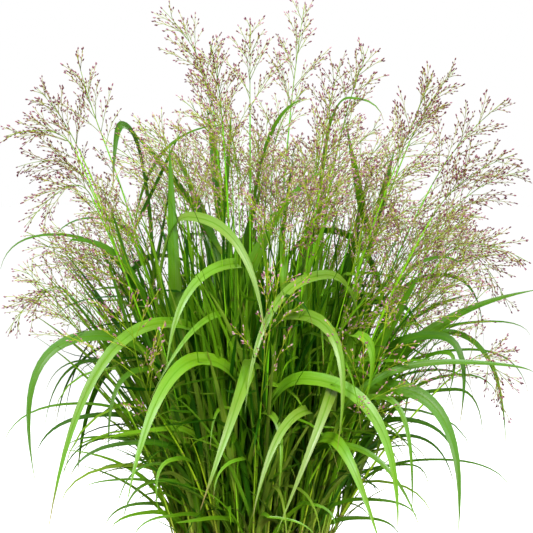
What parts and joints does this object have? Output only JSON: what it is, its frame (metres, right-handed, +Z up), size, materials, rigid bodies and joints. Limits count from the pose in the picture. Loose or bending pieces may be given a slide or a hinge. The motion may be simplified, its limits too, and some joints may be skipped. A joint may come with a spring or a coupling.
{
  "type": "potted elegant lovegrass",
  "caption": "Clump of ornamental grass in a plain clay pot, with arching leaves and airy seed heads on thin stems.",
  "frame": {"origin": "centre of the underside of the pot, where it stands", "axes": "+Z up along the pot's axis, -Y towards the front of the plant, +X to the right seen from the front"},
  "size_m": [0.7253, 0.6355, 0.9472],
  "materials": {
    "clay": "matte",
    "soil": "matte",
    "leaf": "satin",
    "seed_head": "matte"
  },
  "bodies": {
    "root": {"pot": "clay", "soil": "soil", "stem_01": "leaf", "stem_02": "leaf", "stem_03": "leaf", "stem_04": "leaf", "stem_05": "leaf", "stem_06": "leaf", "stem_07": "leaf", "stem_08": "leaf", "stem_09": "leaf", "stem_10": "leaf", "stem_11": "leaf", "stem_12": "leaf", "stem_13": "leaf", "stem_14": "leaf", "stem_15": "leaf", "stem_16": "leaf", "stem_17": "leaf", "stem_18": "leaf", "stem_19": "leaf", "stem_20": "leaf", "stem_21": "leaf", "stem_22": "leaf", "stem_23": "leaf", "stem_24": "leaf", "stem_25": "leaf", "stem_26": "leaf", "stem_27": "leaf", "stem_28": "leaf", "stem_29": "leaf", "stem_30": "leaf", "stem_31": "leaf", "stem_32": "leaf", "stem_33": "leaf", "panicle_01": "seed_head", "panicle_02": "seed_head", "panicle_03": "seed_head", "panicle_04": "seed_head", "panicle_05": "seed_head", "panicle_06": "seed_head", "panicle_07": "seed_head", "panicle_08": "seed_head", "panicle_09": "seed_head", "panicle_10": "seed_head", "panicle_11": "seed_head", "panicle_12": "seed_head", "panicle_13": "seed_head", "panicle_14": "seed_head", "panicle_15": "seed_head", "panicle_16": "seed_head", "panicle_17": "seed_head", "panicle_18": "seed_head", "panicle_19": "seed_head", "panicle_20": "seed_head", "panicle_21": "seed_head", "panicle_22": "seed_head", "panicle_23": "seed_head", "panicle_24": "seed_head"}
  },
  "joints": []
}
